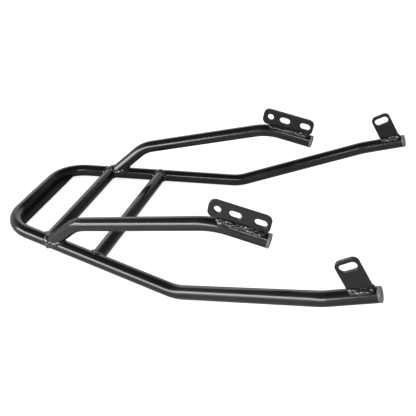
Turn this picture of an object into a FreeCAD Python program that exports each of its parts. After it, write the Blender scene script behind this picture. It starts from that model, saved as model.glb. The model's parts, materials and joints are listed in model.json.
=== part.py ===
# Motorcycle rear rack, welded from round steel tube.
# One bent tube makes a hoop: a rear bar and two arms that spread, rise and turn parallel.
# Two crossbars stiffen the hoop. A raised rail stands on each arm and carries a flat plate
# with one round hole and two slots. A slotted tab stands on each arm end. A narrow strip
# fills the rear of the hoop. Push-in caps close the four open tube ends, and weld beads
# join the pieces.
#
# Millimetres and degrees. +X points to the front of the motorcycle, +Y to its left, +Z up.
# The sizes below are taken from the rear bar's centreline, on the mid-plane. The finished
# rack is then moved so that its origin is under the middle of it, on the surface it lies on.
import FreeCAD, Part
import math
import os

# Round tube
tube_od = 20.0
tube_wall = 1.5

# Hoop: the rear bar, then on each side an arm with an upward bend and a parallel end
hoop_half_width = 96.0        # mid-plane to where an arm's line meets the rear bar's line
hoop_corner_radius = 55.0
arm_splay_angle = 12.8              # how far each arm turns out from the mid-plane
arm_flat_length = 309.0       # along X, rear bar to the upward bend
arm_rise_angle = 21.1               # slope of the arm past the upward bend
arm_rise_length = 200.8       # along X, upward bend to the bend that ends the splay
arm_end_length = 62.0         # along X, that bend to the end of the tube
arm_bend_radius = 70.0

# Crossbars, butted between the arms
crossbar_rear_x = 84.5
crossbar_front_x = 172.0

# Rails: foot on the arm, knee, crest, then a gentle fall to the open end
rail_foot_x = 90.0
rail_knee_x = 142.0
rail_knee_half_width = 130.8
rail_knee_height = 52.2
rail_knee_radius = 60.0
rail_crest_x = 355.5
rail_crest_half_width = 151.5
rail_crest_height = 115.2
rail_crest_radius = 100.0
rail_fall_angle = 8.0
rail_end_length = 71.2        # along X, crest to the end of the tube

# Rear strip inside the hoop
strip_front_x = 24.0
strip_thickness = 3.0
strip_drop = 2.0              # its top surface below the tube's centreline

# Plates: one round hole and two slots on one line, front edge level with the rail's end
plate_thickness = 5.0
plate_hole_height = 13.0      # hole line above the top of the rail
plate_top_margin = 13.0       # hole line to the top edge
plate_foot = 0.5              # how far the outline runs on below the top of the rail
plate_corner_radius = 9.0
plate_rear_margin = 12.5
plate_front_margin = 13.5
plate_hole_pitch = 24.0       # round hole to the first slot
plate_slot_pitch = 34.0       # first slot to the second
plate_hole_diameter = 10.5
plate_slot_length = 17.5
plate_slot_width = 10.5
flat_edge_bevel = 0.5         # the broken edges of plates and tabs

# Tabs on the arm ends
tab_thickness = 5.0
tab_width = 30.0
tab_lean_angle = 33.5               # from upright, towards the rear
tab_setback = 16.2            # tube end to where the tab's axis meets the tube's axis
tab_slot_height = 43.1        # along the tab's axis, tube's axis to the slot's centre
tab_top_margin = 10.5
tab_corner_radius = 8.0
tab_slot_length = 23.0
tab_slot_width = 11.0

# End caps
cap_head_length = 4.0
cap_dome = 1.0
cap_rim_radius = 0.8
cap_seat_bevel = 0.6          # leaves a fine groove where the head meets the tube's end
cap_shank_length = 14.0
cap_shank_clearance = 0.5     # shank to bore, all round
cap_rib_count = 3
cap_rib_length = 1.2

# Joints between tubes
fit_up_gap = 0.1              # a cut tube end or bead stands off the tube it meets by this
weld_size = 2.6               # how far a bead stands out from the arm
weld_leg = 3.2                # how far a bead stands out from the tube that ends there
weld_crown = 1.2              # how far a crossbar's bead rises above the tubes
weld_dressing = 0.4           # how far it stays back from the flat underside
tool_length = 80.0            # cutting tools reach at least this far past a joint

# Beads beside plates, tabs and the strip
weld_plate_size = 3.0         # how far a bead stands out beside a plate or tab
weld_plate_height = 2.2
weld_front_margin = 3.0       # bead stops short of the front end of the plate by this
weld_rear_margin = 12.0       # and of its rear end, where the rail bends away under it
strip_weld_radius = 2.2
strip_weld_length = 20.0
strip_weld_pitch = 40.0
strip_weld_count = 3

tube_radius = tube_od / 2
bore_radius = tube_radius - tube_wall
cope_radius = tube_radius + fit_up_gap
sides = (("left", 1), ("right", -1))


def vector(x, y, z):
    return FreeCAD.Vector(x, y, z)


def slope(run, degrees):
    return run * math.tan(math.radians(degrees))


def bend(before, corner, after, radius):
    """Start, middle and end of the arc that rounds a corner."""
    back = (before - corner).normalize()
    ahead = (after - corner).normalize()
    half_angle = back.getAngle(ahead) / 2
    reach = radius / math.tan(half_angle)
    inward = (back + ahead).normalize()
    middle = corner + inward * (radius / math.sin(half_angle) - radius)
    return corner + back * reach, middle, corner + ahead * reach


def rounded_path(points, radii):
    """Straight runs joined by tangent arcs, one radius for each inner point."""
    edges = []
    start = points[0]
    for before, corner, after, radius in zip(points, points[1:], points[2:], radii):
        first, middle, last = bend(before, corner, after, radius)
        edges.append(Part.LineSegment(start, first).toShape())
        edges.append(Part.Arc(first, middle, last).toShape())
        start = last
    edges.append(Part.LineSegment(start, points[-1]).toShape())
    return edges


def rounded_face(points, radius):
    """A flat face with every corner rounded alike."""
    count = len(points)
    arcs = [bend(points[i - 1], points[i], points[(i + 1) % count], radius) for i in range(count)]
    edges = []
    for i, (first, middle, last) in enumerate(arcs):
        edges.append(Part.Arc(first, middle, last).toShape())
        edges.append(Part.LineSegment(last, arcs[(i + 1) % count][0]).toShape())
    return Part.Face(Part.Wire(edges))


def rod(points, radii, radius):
    """A solid round rod along a rounded path."""
    edges = rounded_path(points, radii)
    profile = Part.Wire(Part.Circle(points[0], points[1] - points[0], radius).toShape())
    return Part.Wire(edges).makePipeShell([profile], True, False)


def straight_rod(start, end, radius):
    return Part.makeCylinder(radius, (end - start).Length, start, end - start)


def largest(shape):
    """The biggest of the solids that a cut leaves."""
    return max(shape.Solids, key=lambda solid: solid.Volume)


def hoop_points():
    """Corner points of the hoop's centreline, from the left end round to the right end."""
    bend_half = hoop_half_width + slope(arm_flat_length, arm_splay_angle)
    end_half = bend_half + slope(arm_rise_length, arm_splay_angle)
    turn_x = arm_flat_length + arm_rise_length
    turn_z = slope(arm_rise_length / math.cos(math.radians(arm_splay_angle)), arm_rise_angle)
    side_points = [
        vector(turn_x + arm_end_length, end_half, turn_z + slope(arm_end_length, arm_rise_angle)),
        vector(turn_x, end_half, turn_z),
        vector(arm_flat_length, bend_half, 0),
        vector(0, hoop_half_width, 0),
    ]
    return side_points + [vector(p.x, -p.y, p.z) for p in reversed(side_points)]


def hoop_rod(radius):
    radii = [arm_bend_radius, arm_bend_radius, hoop_corner_radius]
    return rod(hoop_points(), radii + radii[::-1], radius)


def arm_half_width(x):
    """Distance of the flat part of an arm's centreline from the mid-plane."""
    return hoop_half_width + slope(x, arm_splay_angle)


def arm_point(side, x):
    return vector(x, side * arm_half_width(x), 0)


def arm_rod(side, x, radius):
    """A straight stretch of the flat part of an arm, on both sides of x."""
    start = arm_point(side, x - tool_length)
    return straight_rod(start, arm_point(side, x + tool_length), radius)


def arm_end(side):
    """End point and outward direction of an arm's tube."""
    points = hoop_points()
    end, turn = (points[0], points[1]) if side > 0 else (points[-1], points[-2])
    return end, (end - turn).normalize()


def rail_points(side):
    crest_half = side * rail_crest_half_width
    end_z = rail_crest_height - slope(rail_end_length, rail_fall_angle)
    return [
        arm_point(side, rail_foot_x),
        vector(rail_knee_x, side * rail_knee_half_width, rail_knee_height),
        vector(rail_crest_x, crest_half, rail_crest_height),
        vector(rail_crest_x + rail_end_length, crest_half, end_z),
    ]


def rail_rod(side, radius):
    return rod(rail_points(side), [rail_knee_radius, rail_crest_radius], radius)


def rail_end(side):
    """End point and outward direction of a rail's tube."""
    points = rail_points(side)
    return points[-1], (points[-1] - points[-2]).normalize()


def crossbar_rod(x, radius):
    return straight_rod(arm_point(1, x), arm_point(-1, x), radius)


def crossbar(x):
    """A tube between the arms, its ends cut to the arms' round sides."""
    tube = crossbar_rod(x, tube_radius).cut(crossbar_rod(x, bore_radius))
    for side in (1, -1):
        tube = tube.cut(arm_rod(side, x, cope_radius))
    return tube


def rail(side):
    """A rail, its foot cut to the arm's round top and to the crossbar beside it."""
    tube = rail_rod(side, tube_radius).cut(rail_rod(side, bore_radius))
    tube = tube.cut(arm_rod(side, rail_foot_x, cope_radius))
    return largest(tube.cut(crossbar_rod(crossbar_rear_x, cope_radius)))


def rear_strip(hoop_solid):
    """The strip inside the rear of the hoop, trimmed to the hoop's inner side."""
    half = arm_half_width(strip_front_x)
    slab = Part.makeBox(
        strip_front_x, 2 * half, strip_thickness,
        vector(0, -half, -strip_drop - strip_thickness),
    )
    return largest(slab.cut(hoop_solid))


class UprightFrame:
    """Flat work in a plane parallel to the mid-plane: along and up from an origin."""

    def __init__(self, origin, along):
        self.origin = origin
        self.along = along
        self.up = vector(-along.z, 0, along.x)

    def at(self, along, up):
        return self.origin + self.along * along + self.up * up

    def extrude(self, face, thickness):
        half = vector(0, thickness / 2, 0)
        return face.translated(-half).extrude(half * 2)

    def rounded_block(self, low, high, radius, thickness):
        corners = [
            self.at(low[0], low[1]),
            self.at(high[0], low[1]),
            self.at(high[0], high[1]),
            self.at(low[0], high[1]),
        ]
        return self.extrude(rounded_face(corners, radius), thickness)

    def block(self, low, high, thickness):
        corners = [
            self.at(low[0], low[1]),
            self.at(high[0], low[1]),
            self.at(high[0], high[1]),
            self.at(low[0], high[1]),
            self.at(low[0], low[1]),
        ]
        return self.extrude(Part.Face(Part.makePolygon(corners)), thickness)

    def slot(self, along, up, length, width):
        """A cutter for a slot with round ends; equal length and width make a round hole."""
        radius = width / 2
        reach = length / 2 - radius
        ends = [self.at(along - reach, up), self.at(along + reach, up)]
        half = vector(0, tool_length / 2, 0)
        cutter = Part.makeCylinder(radius, tool_length, ends[0] - half, half)
        if reach > 0:
            cutter = cutter.fuse(Part.makeCylinder(radius, tool_length, ends[1] - half, half))
            low = (along - reach, up - radius)
            high = (along + reach, up + radius)
            cutter = cutter.fuse(self.block(low, high, tool_length)).removeSplitter()
        return cutter


def break_edges(flat_piece):
    """Bevels every edge of a flat piece that lies in one of its two flat faces."""
    rims = [edge for edge in flat_piece.Edges if edge.BoundBox.YLength < flat_edge_bevel]
    return flat_piece.makeChamfer(flat_edge_bevel, rims)


def plate_frame(side):
    """Origin at the front end of the rail's top line, running back along it."""
    end, direction = rail_end(side)
    frame = UprightFrame(end, direction)
    frame.origin = end + frame.up * tube_radius
    return frame


def plate_length():
    return plate_rear_margin + plate_hole_pitch + plate_slot_pitch + plate_front_margin


def plate(side):
    frame = plate_frame(side)
    low = (-plate_length(), -plate_foot)
    high = (0, plate_hole_height + plate_top_margin)
    body = frame.rounded_block(low, high, plate_corner_radius, plate_thickness)
    second_slot = -plate_front_margin
    first_slot = second_slot - plate_slot_pitch
    hole = first_slot - plate_hole_pitch
    for along in (first_slot, second_slot):
        body = body.cut(frame.slot(along, plate_hole_height, plate_slot_length, plate_slot_width))
    body = body.cut(frame.slot(hole, plate_hole_height, plate_hole_diameter, plate_hole_diameter))
    return break_edges(body).cut(rail_rod(side, tube_radius))


def tab_frame(side):
    """Origin where the tab's axis meets the arm's axis; up runs along the tab."""
    end, direction = arm_end(side)
    origin = end - direction * tab_setback
    lean = math.radians(tab_lean_angle)
    return UprightFrame(origin, vector(math.cos(lean), 0, math.sin(lean)))


def tab(side):
    frame = tab_frame(side)
    half = tab_width / 2
    top = tab_slot_height + tab_top_margin
    body = frame.rounded_block((-half, 0), (half, top), tab_corner_radius, tab_thickness)
    foot = frame.block((-half, 0), (half, tab_corner_radius), tab_thickness)
    slot = frame.slot(0, tab_slot_height, tab_slot_length, tab_slot_width)
    body = break_edges(body.fuse(foot).removeSplitter().cut(slot))
    end, direction = arm_end(side)
    return body.cut(straight_rod(end - direction * tool_length, end, tube_radius))


def cap_head_profile():
    """Seat, side, rim and dome of a cap's head, as edges from the tube's end to the axis."""
    dome_radius = (tube_radius ** 2 + cap_dome ** 2) / (2 * cap_dome)
    dome_centre = vector(0, 0, cap_head_length + cap_dome - dome_radius)
    rim_x = tube_radius - cap_rim_radius
    rim_reach = dome_radius - cap_rim_radius
    rim_centre = dome_centre + vector(rim_x, 0, math.sqrt(rim_reach ** 2 - rim_x ** 2))
    outward = (rim_centre - dome_centre).normalize()
    halfway = (outward + vector(1, 0, 0)).normalize()
    rim_start = rim_centre + vector(cap_rim_radius, 0, 0)
    rim_end = rim_centre + outward * cap_rim_radius
    top = dome_centre + vector(0, 0, dome_radius)
    dome_middle = dome_centre + (outward + vector(0, 0, 1)).normalize() * dome_radius
    seat = vector(tube_radius - cap_seat_bevel, 0, 0)
    side_start = vector(tube_radius, 0, cap_seat_bevel)
    return [
        Part.LineSegment(seat, side_start).toShape(),
        Part.LineSegment(side_start, rim_start).toShape(),
        Part.Arc(rim_start, rim_centre + halfway * cap_rim_radius, rim_end).toShape(),
        Part.Arc(rim_end, dome_middle, top).toShape(),
    ]


def cap_shank_profile():
    """Corners of a cap's ribbed shank, from the axis up to the underside of the head."""
    shank_radius = bore_radius - cap_shank_clearance
    pitch = cap_shank_length / cap_rib_count
    corners = [vector(shank_radius, 0, 0)]
    for i in range(cap_rib_count):
        top = -(i + 0.5) * pitch + cap_rib_length / 2
        bottom = top - cap_rib_length
        corners.append(vector(shank_radius, 0, top))
        corners.append(vector(bore_radius, 0, top))
        corners.append(vector(bore_radius, 0, bottom))
        corners.append(vector(shank_radius, 0, bottom))
    corners.append(vector(shank_radius, 0, -cap_shank_length))
    corners.append(vector(0, 0, -cap_shank_length))
    return corners[::-1]


def end_cap(end, direction):
    """A moulded cap, turned about the tube's axis: domed head outside, ribbed shank inside."""
    head = cap_head_profile()
    top = head[-1].lastVertex(True).Point
    corners = [top] + cap_shank_profile() + [vector(tube_radius - cap_seat_bevel, 0, 0)]
    lines = [Part.LineSegment(a, b).toShape() for a, b in zip(corners, corners[1:])]
    face = Part.Face(Part.Wire(head + lines))
    cap = face.revolve(vector(0, 0, 0), vector(0, 0, 1), 360)
    cap.Placement = FreeCAD.Placement(end, FreeCAD.Rotation(vector(0, 0, 1), direction))
    return cap


def tube_weld(side, x, start, direction):
    """A bead on an arm, round the tube that runs from start and ends on that arm."""
    bead = straight_rod(start, start + direction * tool_length, tube_radius + weld_leg)
    bead = bead.common(arm_rod(side, x, tube_radius + weld_size))
    bead = bead.cut(arm_rod(side, x, cope_radius))
    return bead.cut(straight_rod(start, start + direction * tool_length, tube_radius))


def crossbar_weld(side, x):
    """A bead round one end of a crossbar, kept clear of the rail's foot."""
    inward = vector(0, -side, 0)
    joint = arm_point(side, x)
    bead = tube_weld(side, x, joint - inward * weld_size, inward)
    bottom = weld_dressing - tube_radius
    low = joint + vector(-tool_length / 2, -tool_length / 2, bottom)
    slab = Part.makeBox(tool_length, tool_length, tube_radius + weld_crown - bottom, low)
    return largest(bead.common(slab).cut(rail_rod(side, tube_radius)).cut(rail_weld(side)))


def rail_weld(side):
    """A bead round the foot of a rail, on top of the arm, kept clear of the crossbar."""
    foot, knee = rail_points(side)[:2]
    bead = tube_weld(side, foot.x, foot, (knee - foot).normalize())
    return largest(bead.cut(crossbar_rod(crossbar_rear_x, cope_radius)))


def plate_weld(side, plate_solid):
    """Beads along both sides of a plate's foot."""
    frame = plate_frame(side)
    low = (weld_rear_margin - plate_length(), -tube_radius)
    high = (-weld_front_margin, weld_plate_height)
    band = frame.block(low, high, plate_thickness + 2 * weld_plate_size)
    bead = band.common(rail_rod(side, tube_radius + weld_plate_height))
    return bead.cut(rail_rod(side, tube_radius)).cut(plate_solid)


def tab_weld(side, tab_solid):
    """Beads along both sides of a tab's foot."""
    end, direction = arm_end(side)
    start = end - direction * tool_length
    frame = UprightFrame(tab_frame(side).origin, direction)
    foot_half = tab_width / 2 / math.cos(math.radians(tab_lean_angle - arm_rise_angle))
    shift = slope(tube_radius, tab_lean_angle - arm_rise_angle)
    low = (-foot_half - shift, 0)
    high = (foot_half - shift + weld_plate_size / 2, tube_radius + weld_plate_height)
    band = frame.block(low, high, tab_thickness + 2 * weld_plate_size)
    bead = band.common(straight_rod(start, end, tube_radius + weld_plate_height))
    return bead.cut(straight_rod(start, end, tube_radius)).cut(tab_solid)


def marked(flat_piece, beads):
    """The flat piece with its beads' outline marked on it, so that its bare faces end there."""
    pieces = largest(flat_piece).generalFuse([beads])[1]
    return pieces[0][0]


def strip_weld(strip_solid):
    """Short beads under the strip, along the rear bar."""
    drop = strip_drop + strip_thickness
    seat_x = math.sqrt(tube_radius ** 2 - drop ** 2)
    bar = straight_rod(vector(0, -hoop_half_width, 0), vector(0, hoop_half_width, 0), tube_radius)
    beads = []
    for i in range(strip_weld_count):
        middle = (i - (strip_weld_count - 1) / 2) * strip_weld_pitch
        start = vector(seat_x, middle - strip_weld_length / 2, -drop)
        bead = straight_rod(start, start + vector(0, strip_weld_length, 0), strip_weld_radius)
        beads.append(bead.cut(bar).cut(strip_solid))
    return Part.makeCompound(beads)


def build():
    """Every node of the rack, by name, in the rear bar's frame."""
    hoop_solid = hoop_rod(tube_radius)
    nodes = {"hoop_tube": hoop_solid.cut(hoop_rod(bore_radius))}
    nodes["rear_strip"] = rear_strip(hoop_solid)
    nodes["weld_strip"] = strip_weld(nodes["rear_strip"])
    for place, x in (("rear", crossbar_rear_x), ("front", crossbar_front_x)):
        nodes["crossbar_" + place] = crossbar(x)
        for name, side in sides:
            nodes["weld_crossbar_" + place + "_" + name] = crossbar_weld(side, x)
    for name, side in sides:
        nodes["rail_" + name] = rail(side)
        nodes["weld_rail_" + name] = rail_weld(side)
        for part, make, weld in (("plate_", plate, plate_weld), ("tab_", tab, tab_weld)):
            piece = make(side)
            beads = weld(side, piece)
            nodes[part + name] = marked(piece, beads)
            nodes["weld_" + part + name] = beads
        nodes["cap_arm_" + name] = end_cap(*arm_end(side))
        nodes["cap_rail_" + name] = end_cap(*rail_end(side))
    return nodes


def main():
    os.makedirs("parts", exist_ok=True)
    nodes = build()
    box = Part.makeCompound(list(nodes.values())).optimalBoundingBox(False, False)
    shift = vector(-(box.XMin + box.XMax) / 2, -(box.YMin + box.YMax) / 2, -box.ZMin)
    for name, shape in nodes.items():
        placed = shape.translated(shift)
        placed.exportStep("parts/" + name + ".step")
        solids = placed.Solids
        print(name, len(solids), "solid", round(placed.Volume, 1), "mm3", placed.isValid())
    print("size", round(box.XLength, 2), round(box.YLength, 2), round(box.ZLength, 2))
    print("shift", round(shift.x, 3), round(shift.y, 3), round(shift.z, 3))


main()
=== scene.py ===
import json
import math

import bmesh
import bpy
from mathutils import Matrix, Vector, noise
from mathutils.bvhtree import BVHTree


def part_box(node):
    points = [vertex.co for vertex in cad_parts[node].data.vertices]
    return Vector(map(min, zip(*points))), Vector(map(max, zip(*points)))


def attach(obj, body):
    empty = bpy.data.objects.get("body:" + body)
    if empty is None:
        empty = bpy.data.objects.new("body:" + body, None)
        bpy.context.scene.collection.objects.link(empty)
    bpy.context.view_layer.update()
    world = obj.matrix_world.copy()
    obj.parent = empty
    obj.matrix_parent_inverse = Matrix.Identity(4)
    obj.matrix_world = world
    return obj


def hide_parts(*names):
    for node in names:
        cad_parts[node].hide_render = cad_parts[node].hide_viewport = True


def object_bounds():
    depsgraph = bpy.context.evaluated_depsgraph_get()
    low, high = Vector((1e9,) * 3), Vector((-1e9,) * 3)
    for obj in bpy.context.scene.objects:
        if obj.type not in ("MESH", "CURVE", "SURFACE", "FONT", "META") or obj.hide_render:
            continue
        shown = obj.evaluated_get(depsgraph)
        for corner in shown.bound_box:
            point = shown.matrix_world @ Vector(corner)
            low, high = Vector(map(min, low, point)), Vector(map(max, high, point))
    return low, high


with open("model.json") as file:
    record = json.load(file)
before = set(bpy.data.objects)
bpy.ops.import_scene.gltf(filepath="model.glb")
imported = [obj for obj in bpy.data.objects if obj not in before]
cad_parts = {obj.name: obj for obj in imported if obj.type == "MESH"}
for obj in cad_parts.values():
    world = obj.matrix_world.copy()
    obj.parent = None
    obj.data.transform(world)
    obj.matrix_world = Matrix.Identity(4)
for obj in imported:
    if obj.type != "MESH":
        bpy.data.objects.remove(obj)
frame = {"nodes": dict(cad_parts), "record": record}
cad_low, cad_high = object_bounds()

# Sizes in metres. Those of the tubes and the strip are the part's own.
MM = 0.001
TUBE_RADIUS = 10 * MM
ARM_SPLAY = math.radians(12.8)
ARM_HALF_WIDTH = 96 * MM        # arm line to mid-plane, at the rear bar
RAIL_FOOT = 90 * MM             # rear bar to the rail's foot
RAIL_KNEE = Vector((142, 130.8, 52.2)) * MM
STRIP_DEPTH = 5 * MM            # tube centreline down to the strip's underside

BEAD_CORNER_WIDTH = 4.0 * MM    # half width of a weld bead in a square corner
BEAD_FLAT_WIDTH = 4.6 * MM      # half width where the two surfaces are level
BEAD_CORNER_HEIGHT = 3.4 * MM
BEAD_FLAT_HEIGHT = 1.9 * MM
BEAD_RIPPLE = 6.4 * MM          # from one ripple to the next
BEAD_LUMP = 9.0 * MM            # size of the lumps on a bead
BEAD_SWELL = 9.0 * MM           # length of a thicker or thinner stretch
GROUND_CLEARANCE = 0.4 * MM     # beads are dressed back from the underside by this
SECTION_STEPS = 20

# Plates and tabs have two runs of bead on each side: distance from the flat face, and size
RUNS = ((0.05 * MM, 1.0), (3.0 * MM, 0.75))
END_INSET = 1 * MM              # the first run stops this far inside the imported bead's ends
RUN_STAGGER = 3 * MM            # the second run stops this much further inside
LOOK_DOWN_FROM = 30 * MM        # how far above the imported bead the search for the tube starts

STRIP_BEADS = 3
STRIP_BEAD_LENGTH = 20 * MM
STRIP_BEAD_PITCH = 40 * MM

# Steps along a bead, start of its noise, unevenness of its thickness and its size, by kind of joint
SEAM_STEPS = {"crossbar": 300, "rail": 340, "plate": 260, "tab": 260, "strip": 80}
SEED = {"crossbar": 3.1, "rail": 8.7, "plate": 31.0, "tab": 41.0, "strip": 20.0}
UNEVENNESS = {"crossbar": 0.2, "rail": 0.3, "plate": 0.45, "tab": 0.35, "strip": 0.0}
SPREAD = {"crossbar": 0.8, "rail": 1.2, "strip": 0.6}
SECOND_RUN_SEED = 5.7

SIDES = (("left", 1), ("right", -1))
NEAR_SIDE = "right"             # its rail's bead is calmer than the others


def hoop_origin():
    """Middle of the rear bar's centreline, from which the sizes above are taken."""
    low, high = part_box("hoop_tube")
    return Vector((low.x + TUBE_RADIUS, (low.y + high.y) / 2, low.z + TUBE_RADIUS))


ORIGIN = hoop_origin()


# Nodes of a material or of the world

class Nodes:
    """Adds and links the nodes of one material or world."""

    def __init__(self, tree):
        self.tree = tree
        tree.nodes.clear()

    def add(self, kind, settings=None, **inputs):
        node = self.tree.nodes.new(kind)
        for name, value in (settings or {}).items():
            setattr(node, name, value)
        for name, value in inputs.items():
            self.put(node.inputs[name.replace("_", " ")], value)
        return node

    def put(self, socket, value):
        if isinstance(value, bpy.types.NodeSocket):
            self.tree.links.new(value, socket)
        else:
            socket.default_value = value


def noise_field(nodes, place, scale, detail=2.0, roughness=0.5):
    made = nodes.add("ShaderNodeTexNoise", Scale=scale, Detail=detail, Roughness=roughness, Vector=place)
    return made.outputs[0]


def maths(nodes, operation, first, second):
    made = nodes.add("ShaderNodeMath", {"operation": operation})
    nodes.put(made.inputs[0], first)
    nodes.put(made.inputs[1], second)
    return made.outputs[0]


def span(nodes, value, low, high, to_low, to_high, kind="LINEAR"):
    """The value carried over from one range to another, and held at its ends."""
    made = nodes.add("ShaderNodeMapRange", {"interpolation_type": kind}, Value=value)
    for name, number in (("From Min", low), ("From Max", high), ("To Min", to_low), ("To Max", to_high)):
        made.inputs[name].default_value = number
    return made.outputs[0]


def blend_colours(nodes, share, first, second):
    """Sockets 6 and 7 are the node's two colours, and output 2 is the colour that it makes."""
    made = nodes.add("ShaderNodeMix", {"data_type": "RGBA"})
    nodes.put(made.inputs[0], share)
    nodes.put(made.inputs[6], (*first, 1))
    nodes.put(made.inputs[7], (*second, 1))
    return made.outputs[2]


def bump(nodes, height, distance, strength, normal=None):
    made = nodes.add("ShaderNodeBump", Height=height, Distance=distance, Strength=strength)
    if normal is not None:
        nodes.put(made.inputs["Normal"], normal)
    return made.outputs[0]


# Materials

CLOUD_SCALE = 38.0              # slow unevenness of tone and gloss
MOTTLE_SCALE = 420.0            # fine unevenness of tone
TONE_RANGE = (0.12, 0.4)        # product of the two that runs from the dark to the light colour
CLOUD_RANGE = (0.3, 0.7)
GLOSS_SPREAD = 0.035
PEEL_STRENGTH = 0.6
GRAIN_STRENGTH = 0.5
COAT_IOR = 1.5
SHARP_EDGE = math.radians(35)


def coated(name, dark, light, roughness, peel_scale, peel_depth, grain_scale, grain_depth, shine=0.5):
    """A coat on steel or a moulded skin: uneven tone and gloss, orange peel and a fine grain."""
    material = bpy.data.materials.new(name)
    material.use_nodes = True
    nodes = Nodes(material.node_tree)
    place = nodes.add("ShaderNodeTexCoord").outputs["Object"]
    cloud = noise_field(nodes, place, CLOUD_SCALE, 3.0)
    mottle = noise_field(nodes, place, MOTTLE_SCALE, 3.0, 0.6)
    tone = maths(nodes, "MULTIPLY", cloud, mottle)
    colour = blend_colours(nodes, span(nodes, tone, *TONE_RANGE, 0.0, 1.0), dark, light)
    gloss = span(nodes, cloud, *CLOUD_RANGE, roughness - GLOSS_SPREAD, roughness + GLOSS_SPREAD)
    peel = bump(nodes, noise_field(nodes, place, peel_scale, 1.0), peel_depth, PEEL_STRENGTH)
    grain = bump(nodes, noise_field(nodes, place, grain_scale, 2.0), grain_depth, GRAIN_STRENGTH, peel)
    shader = nodes.add("ShaderNodeBsdfPrincipled", Base_Color=colour, Roughness=gloss, Normal=grain)
    shader.inputs["IOR"].default_value = COAT_IOR
    shader.inputs["Specular IOR Level"].default_value = shine
    nodes.add("ShaderNodeOutputMaterial", Surface=shader.outputs[0])
    return material


def make_materials():
    """The record's material slots, and two more: a calmer weld and the strip's matt coat."""
    return {
        "tube_coat": coated(
            "tube_powder_coat",
            dark=(0.004, 0.004, 0.0056), light=(0.007, 0.0071, 0.009), roughness=0.17,
            peel_scale=420, peel_depth=0.006 * MM, grain_scale=2600, grain_depth=0.003 * MM,
        ),
        "plate_coat": coated(
            "plate_powder_coat",
            dark=(0.005, 0.005, 0.0066), light=(0.008, 0.0081, 0.01), roughness=0.3,
            peel_scale=520, peel_depth=0.02 * MM, grain_scale=2300, grain_depth=0.012 * MM, shine=0.42,
        ),
        "weld_coat": coated(
            "weld_powder_coat",
            dark=(0.005, 0.005, 0.0066), light=(0.013, 0.013, 0.015), roughness=0.23,
            peel_scale=140, peel_depth=0.7 * MM, grain_scale=700, grain_depth=0.05 * MM, shine=0.85,
        ),
        "smooth_weld_coat": coated(
            "smooth_weld_powder_coat",
            dark=(0.005, 0.005, 0.0066), light=(0.013, 0.013, 0.015), roughness=0.2,
            peel_scale=140, peel_depth=0.4 * MM, grain_scale=700, grain_depth=0.05 * MM, shine=0.85,
        ),
        "strip_coat": coated(
            "strip_matt_coat",
            dark=(0.004, 0.0035, 0.003), light=(0.007, 0.006, 0.005), roughness=0.5,
            peel_scale=800, peel_depth=0.02 * MM, grain_scale=2600, grain_depth=0.02 * MM, shine=0.15,
        ),
        # Painted light: the caps are black plastic, and this colour is lighter than theirs to stand in
        # for the light on their end faces.
        "cap_plastic": coated(
            "cap_plastic",
            dark=(0.1, 0.098, 0.096), light=(0.14, 0.137, 0.134), roughness=0.42,
            peel_scale=1500, peel_depth=0.03 * MM, grain_scale=3800, grain_depth=0.03 * MM,
        ),
    }


def dress_cad_nodes(materials):
    slots = {part["node"]: part["material_slot"] for part in frame["record"]["subparts"]}
    for name, node in frame["nodes"].items():
        node.data.materials.clear()
        node.data.materials.append(materials["strip_coat" if name == "rear_strip" else slots[name]])
        node.data.shade_smooth()
        node.data.set_sharp_from_angle(angle=SHARP_EDGE)


# Seams

class Tube:
    """A straight stretch of round tube: a point on its axis and a direction."""

    def __init__(self, point, direction):
        self.point = point
        self.direction = direction.normalized()

    def off_axis(self, offset):
        """The part of an offset that is square to the tube."""
        return offset - self.direction * offset.dot(self.direction)

    def normal_at(self, place):
        return self.off_axis(place - self.point).normalized()


def arm_point(side, run):
    return ORIGIN + Vector((run, side * (ARM_HALF_WIDTH + run * math.tan(ARM_SPLAY)), 0))


def arm_tube(side):
    return Tube(arm_point(side, 0), Vector((math.cos(ARM_SPLAY), side * math.sin(ARM_SPLAY), 0)))


def saddle(tube, other, steps):
    """The closed seam where a tube meets another, with the surface normals of both there."""
    across = tube.direction.cross(other.direction).normalized()
    level = across.cross(tube.direction)
    along = other.off_axis(tube.direction)
    seam = []
    for i in range(steps):
        angle = 2 * math.pi * i / steps
        outward = across * math.cos(angle) + level * math.sin(angle)
        start = tube.point + outward * TUBE_RADIUS - other.point
        square_start = other.off_axis(start)
        a = along.dot(along)
        b = 2 * along.dot(square_start)
        c = square_start.dot(square_start) - TUBE_RADIUS ** 2
        reach = (-b + math.sqrt(max(b * b - 4 * a * c, 0))) / (2 * a)
        place = other.point + start + tube.direction * reach
        seam.append((place, outward, other.normal_at(place)))
    return seam


def surface_of(node):
    data = frame["nodes"][node].data
    return BVHTree.FromPolygons([v.co for v in data.vertices], [p.vertices for p in data.polygons])


def foot_seam(surface, start, end, face_normal, steps):
    """The open seam between a flat piece's face and the tube under it, found by looking down."""
    down = Vector((0, 0, -1))
    seam = []
    for i in range(steps):
        above = start.lerp(end, i / (steps - 1))
        place, normal = surface.ray_cast(above, down)[:2]
        if place is not None:
            seam.append((place, normal if normal.dot(down) < 0 else -normal, face_normal))
    return seam


def strip_seam(middle, steps):
    """The seam between the rear bar and the strip's underside, for one short bead."""
    behind = math.sqrt(TUBE_RADIUS ** 2 - STRIP_DEPTH ** 2)
    tube_normal = Vector((behind, 0, -STRIP_DEPTH)).normalized()
    seam = []
    for i in range(steps):
        y = middle + (i / (steps - 1) - 0.5) * STRIP_BEAD_LENGTH
        seam.append((ORIGIN + Vector((behind, y, -STRIP_DEPTH)), tube_normal, Vector((0, 0, -1))))
    return seam


# Weld beads

# Shares of a bead's height: its even part, the ripples, slow unevenness and the lumps
HEIGHT_EVEN = 0.86
HEIGHT_RIPPLES = 0.16
HEIGHT_WANDER = 0.2
HEIGHT_LUMPS = 0.34

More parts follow.
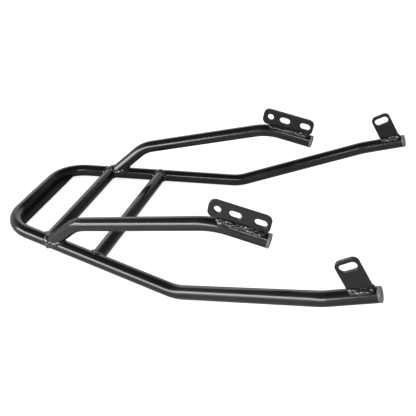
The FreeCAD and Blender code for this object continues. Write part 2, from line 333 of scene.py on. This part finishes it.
RIPPLE_BOW = 0.9                # how far a ripple's edges lag behind its middle, in ripples
RIPPLE_SLANT = 0.75             # below 1, a ripple rises faster than it falls
WANDER_LENGTH = 4               # length of the slow unevenness, in ripples
WANDER_SHIFT = 0.6              # how far it moves the ripples
LUMP_TURN = 1.6                 # how fast the lumps change around a bead
SWELL_NOISE_LEVEL = 7.3         # keeps the swelling's noise apart from the wander's
TAPER_START = 0.25              # size of an open bead at its very end
TAPER_RATE = 14


def ripple(run, angle, seed):
    """Height factor of a bead: curved ripples one behind another, lumps and slow unevenness."""
    turn = LUMP_TURN * math.cos(angle), LUMP_TURN * math.sin(angle) + seed
    lumps = noise.noise(Vector((run / BEAD_LUMP, *turn)))
    bowed = run - RIPPLE_BOW * BEAD_RIPPLE * (1 - math.cos(angle)) / 2
    wander = noise.noise(Vector((run / (WANDER_LENGTH * BEAD_RIPPLE), seed, 0)))
    phase = bowed / BEAD_RIPPLE + WANDER_SHIFT * wander
    step = phase - math.floor(phase)
    crest = math.sin(math.pi * step ** RIPPLE_SLANT)
    return HEIGHT_EVEN + HEIGHT_RIPPLES * crest + HEIGHT_WANDER * wander + HEIGHT_LUMPS * lumps


def end_taper(i, count):
    """Thins an open bead at its two ends."""
    end_distance = min(i, count - 1 - i) / max(1, count - 1)
    return min(1.0, TAPER_START + math.sqrt(end_distance * TAPER_RATE))


def new_piece(name, mesh):
    """A finished bmesh as a smooth object in the scene."""
    data = bpy.data.meshes.new(name)
    mesh.to_mesh(data)
    mesh.free()
    data.shade_smooth()
    piece = bpy.data.objects.new(name, data)
    bpy.context.scene.collection.objects.link(piece)
    return piece


def skin(mesh, rings, closed):
    """Faces between neighbouring rings, and over the ends of an open bead."""
    pairs = list(zip(rings, rings[1:]))
    if closed:
        pairs.append((rings[-1], rings[0]))
    for ring, following in pairs:
        for j in range(SECTION_STEPS):
            k = (j + 1) % SECTION_STEPS
            mesh.faces.new((ring[j], ring[k], following[k], following[j]))
    if not closed:
        mesh.faces.new(rings[0][::-1])
        mesh.faces.new(rings[-1])
    bmesh.ops.recalc_face_normals(mesh, faces=mesh.faces)


def sweep_bead(name, seam, closed, seed, unevenness, spread):
    """A bead along a seam. Each seam point has its place and the two surfaces' normals."""
    mesh = bmesh.new()
    rings = []
    run = 0.0
    count = len(seam)
    for i, (place, first, second) in enumerate(seam):
        before = seam[i - 1][0] if closed or i else place
        after = seam[(i + 1) % count][0] if closed or i + 1 < count else place
        tangent = (after - before).normalized()
        if i:
            run += (place - seam[i - 1][0]).length
        outward = first + second
        outward = (outward - tangent * outward.dot(tangent)).normalized()
        across = tangent.cross(outward)
        openness = max(0.0, min(1.0, 1 - first.dot(second)))
        height = BEAD_FLAT_HEIGHT + (BEAD_CORNER_HEIGHT - BEAD_FLAT_HEIGHT) * openness
        width = BEAD_FLAT_WIDTH + (BEAD_CORNER_WIDTH - BEAD_FLAT_WIDTH) * openness
        swell = 1 + unevenness * noise.noise(Vector((run / BEAD_SWELL, seed, SWELL_NOISE_LEVEL)))
        taper = 1.0 if closed else end_taper(i, count)
        ring = []
        for j in range(SECTION_STEPS):
            angle = 2 * math.pi * j / SECTION_STEPS
            factor = ripple(run, angle, seed) * swell * taper
            point = place + across * (width * spread * factor * math.sin(angle))
            point += outward * (height * spread * factor * math.cos(angle))
            point.z = max(point.z, GROUND_CLEARANCE)
            ring.append(mesh.verts.new(point))
        rings.append(ring)
    skin(mesh, rings, closed)
    return new_piece(name, mesh)


def join_beads(name, beads):
    """Several beads as one piece."""
    mesh = bmesh.new()
    for bead in beads:
        mesh.from_mesh(bead.data)
        bpy.data.objects.remove(bead)
    return new_piece(name, mesh)


def finish_bead(bead, material, node):
    bead.data.materials.append(material)
    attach(bead, "root")
    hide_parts(node)


def weld_saddle(materials, kind, place, tube, arm, index, coat="weld_coat"):
    """The closed bead where a crossbar or a raised rail meets the arm."""
    seam = saddle(tube, arm, SEAM_STEPS[kind])
    bead = sweep_bead("bead_" + place, seam, True, SEED[kind] + index, UNEVENNESS[kind], SPREAD[kind])
    finish_bead(bead, materials[coat], "weld_" + place)


def weld_tubes(materials):
    for index, (name, side) in enumerate(SIDES):
        arm = arm_tube(side)
        for place in ("crossbar_rear", "crossbar_front"):
            low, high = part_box(place)
            run = (low.x + high.x) / 2 - ORIGIN.x
            crossbar = Tube(arm_point(side, run), Vector((0, -side, 0)))
            weld_saddle(materials, "crossbar", place + "_" + name, crossbar, arm, index)
        foot = arm_point(side, RAIL_FOOT)
        knee = ORIGIN + Vector((RAIL_KNEE.x, side * RAIL_KNEE.y, RAIL_KNEE.z))
        coat = "smooth_weld_coat" if name == NEAR_SIDE else "weld_coat"
        weld_saddle(materials, "rail", "rail_" + name, Tube(foot, knee - foot), arm, index, coat)


def weld_flat_piece(materials, kind, tube_node, name, index):
    """Two runs of bead along both sides of a plate's or tab's foot."""
    node = "weld_" + kind + "_" + name
    low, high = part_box(node)
    flat_low, flat_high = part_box(kind + "_" + name)
    surface = surface_of(tube_node)
    beads = []
    for face_y, normal_y in ((flat_low.y, -1), (flat_high.y, 1)):
        for run, (gap, spread) in enumerate(RUNS):
            y = face_y + normal_y * gap
            inset = END_INSET + run * RUN_STAGGER
            start = Vector((low.x + inset, y, high.z + LOOK_DOWN_FROM))
            end = Vector((high.x - inset, y, high.z + LOOK_DOWN_FROM))
            seam = foot_seam(surface, start, end, Vector((0, normal_y, 0)), SEAM_STEPS[kind])
            seed = SEED[kind] + index + normal_y + SECOND_RUN_SEED * run
            beads.append(sweep_bead("side", seam, False, seed, UNEVENNESS[kind], spread))
    finish_bead(join_beads("bead_" + kind + "_" + name, beads), materials["weld_coat"], node)


def weld_strip(materials):
    beads = []
    for i in range(STRIP_BEADS):
        middle = (i - (STRIP_BEADS - 1) / 2) * STRIP_BEAD_PITCH
        seam = strip_seam(middle, SEAM_STEPS["strip"])
        bead = sweep_bead("side", seam, False, SEED["strip"] + i, UNEVENNESS["strip"], SPREAD["strip"])
        beads.append(bead)
    finish_bead(join_beads("bead_strip", beads), materials["weld_coat"], "weld_strip")


# Surroundings

ROOM_LIGHT = 0.75               # strength of the world as plain light on the rack
CEILING_HEIGHTS = (0.05, 0.85)  # height of a direction where the mirrored room starts and ends to darken
CEILING_DARK = 0.02
SIDE_RANGE = (-0.4, 0.5)        # and the same from behind the rack to in front of it
SIDE_DARK = 0.3

FLOOR_HALF_SIZE = 12.0
FLOOR_PAINT = 0.42
FLOOR_SEEN = 0.8                # the floor's own glow for the camera
PAINTED_POOL_MIDDLE = (-0.3, -0.75, 0.0)   # painted pool of light in the floor's glow, seen only in gloss: brightest left in front of the rack, painted dark further away and under the rack
PAINTED_POOL_RANGE = (0.48, 0.75)
PAINTED_POOL_BRIGHT = 0.55
PAINTED_POOL_DARK = 0.03

WARM = (1, 0.975, 0.965)
NEUTRAL = (1, 1, 1)

# Name, place, width, height, power in watts and colour of each lamp
LAMPS = (
    ("front_high", (-1.58, -1.58, 0.66), 2.6, 0.46, 47.0, WARM),
    ("front_low", (-1.58, -1.58, 0.16), 2.6, 0.5, 22.0, WARM),
    ("high_strip", (0.51, -1.77, 1.4), 1.15, 0.3, 13.0, NEUTRAL),
    ("back_box", (-0.5, 2.0, 0.92), 3.1, 1.1, 10.0, NEUTRAL),
)


def backdrop_rays(nodes):
    """One for camera rays alone, and one for camera, glossy and transmission rays."""
    path = nodes.add("ShaderNodeLightPath")
    camera = path.outputs["Is Camera Ray"]
    seen = maths(nodes, "MAXIMUM", camera, path.outputs["Is Glossy Ray"])
    return camera, maths(nodes, "MAXIMUM", seen, path.outputs["Is Transmission Ray"])


def make_world():
    """White for the camera, plain as light, and with a dark ceiling in gloss, as in a studio."""
    world = bpy.data.worlds.new("studio")
    world.use_nodes = True
    bpy.context.scene.world = world
    nodes = Nodes(world.node_tree)
    camera, seen = backdrop_rays(nodes)
    direction = nodes.add("ShaderNodeTexCoord").outputs["Generated"]
    axes = nodes.add("ShaderNodeSeparateXYZ", Vector=direction)
    ceiling = span(nodes, axes.outputs[2], *CEILING_HEIGHTS, 1.0, CEILING_DARK, "SMOOTHSTEP")
    side = span(nodes, axes.outputs[0], *SIDE_RANGE, 1.0, SIDE_DARK)
    strength = nodes.add("ShaderNodeMix", {"data_type": "FLOAT"})
    nodes.put(strength.inputs[0], seen)
    strength.inputs[2].default_value = ROOM_LIGHT
    nodes.put(strength.inputs[3], maths(nodes, "MULTIPLY", ceiling, side))
    level = maths(nodes, "MAXIMUM", strength.outputs[0], camera)
    light = nodes.add("ShaderNodeBackground", Strength=level)
    light.inputs["Color"].default_value = (1, 1, 1, 1)
    nodes.add("ShaderNodeOutputWorld", Surface=light.outputs[0])


def make_floor():
    half = FLOOR_HALF_SIZE
    data = bpy.data.meshes.new("floor")
    corners = [(-half, -half, 0), (half, -half, 0), (half, half, 0), (-half, half, 0)]
    data.from_pydata(corners, [], [(0, 1, 2, 3)])
    floor = bpy.data.objects.new("floor", data)
    bpy.context.scene.collection.objects.link(floor)
    material = bpy.data.materials.new("pale_floor")
    material.use_nodes = True
    nodes = Nodes(material.node_tree)
    camera, seen = backdrop_rays(nodes)
    away = nodes.add("ShaderNodeVectorMath", {"operation": "DISTANCE"})
    nodes.put(away.inputs[0], nodes.add("ShaderNodeTexCoord").outputs["Object"])
    away.inputs[1].default_value = PAINTED_POOL_MIDDLE
    # Painted light: in gloss the floor glows as a pool of light around a point left in front of the
    # rack. Further away, under the rack too, it is painted dark in reflections.
    painted_pool = span(nodes, away.outputs["Value"], *PAINTED_POOL_RANGE, PAINTED_POOL_BRIGHT, PAINTED_POOL_DARK)
    in_gloss = maths(nodes, "MULTIPLY", seen, painted_pool)
    in_camera = maths(nodes, "MULTIPLY", camera, FLOOR_SEEN)
    glow = nodes.add("ShaderNodeEmission", Strength=maths(nodes, "MAXIMUM", in_gloss, in_camera))
    paint = nodes.add("ShaderNodeBsdfDiffuse")
    paint.inputs["Color"].default_value = (FLOOR_PAINT, FLOOR_PAINT, FLOOR_PAINT, 1)
    both = nodes.add("ShaderNodeAddShader")
    nodes.put(both.inputs[0], paint.outputs[0])
    nodes.put(both.inputs[1], glow.outputs[0])
    nodes.add("ShaderNodeOutputMaterial", Surface=both.outputs[0])
    data.materials.append(material)


def make_lights():
    """Soft boxes, all turned to the middle of the rack."""
    target = (cad_low + cad_high) / 2
    for name, place, width, height, power, colour in LAMPS:
        data = bpy.data.lights.new(name, "AREA")
        data.shape = "RECTANGLE"
        data.size = width
        data.size_y = height
        data.energy = power
        data.color = colour
        lamp = bpy.data.objects.new(name, data)
        lamp.location = place
        lamp.rotation_mode = "QUATERNION"
        lamp.rotation_quaternion = (target - Vector(place)).to_track_quat("-Z", "Y")
        bpy.context.scene.collection.objects.link(lamp)


# Camera

CAMERA_PLACE = Vector((0.2668, -0.8473, 0.5997))
CAMERA_YAW = math.radians(-16.42)
CAMERA_PITCH = math.radians(32.0)
CAMERA_ROLL = math.radians(2.03)
CAMERA_LENS = 57.95
SENSOR_WIDTH = 36.0
CLIP_START = 0.01
CLIP_END = 100


def make_camera():
    data = bpy.data.cameras.new("camera")
    data.lens = CAMERA_LENS
    data.sensor_width = SENSOR_WIDTH
    data.clip_start = CLIP_START
    data.clip_end = CLIP_END
    camera = bpy.data.objects.new("camera", data)
    bpy.context.scene.collection.objects.link(camera)
    ahead = Vector((
        math.sin(CAMERA_YAW) * math.cos(CAMERA_PITCH),
        math.cos(CAMERA_YAW) * math.cos(CAMERA_PITCH),
        -math.sin(CAMERA_PITCH),
    ))
    right = Vector((math.cos(CAMERA_YAW), -math.sin(CAMERA_YAW), 0))
    up = right.cross(ahead)
    rolled_right = right * math.cos(CAMERA_ROLL) + up * math.sin(CAMERA_ROLL)
    rolled_up = up * math.cos(CAMERA_ROLL) - right * math.sin(CAMERA_ROLL)
    matrix = camera.matrix_world.copy()
    for column, axis in enumerate((rolled_right, rolled_up, -ahead, CAMERA_PLACE)):
        for row in range(3):
            matrix[row][column] = axis[row]
    camera.matrix_world = matrix
    bpy.context.scene.camera = camera


# The scene

materials = make_materials()
dress_cad_nodes(materials)
weld_tubes(materials)
for index, (name, side) in enumerate(SIDES):
    weld_flat_piece(materials, "plate", "rail_" + name, name, index)
    weld_flat_piece(materials, "tab", "hoop_tube", name, index)
weld_strip(materials)
make_world()
make_floor()
make_lights()
make_camera()
bpy.context.scene.view_settings.view_transform = "Standard"
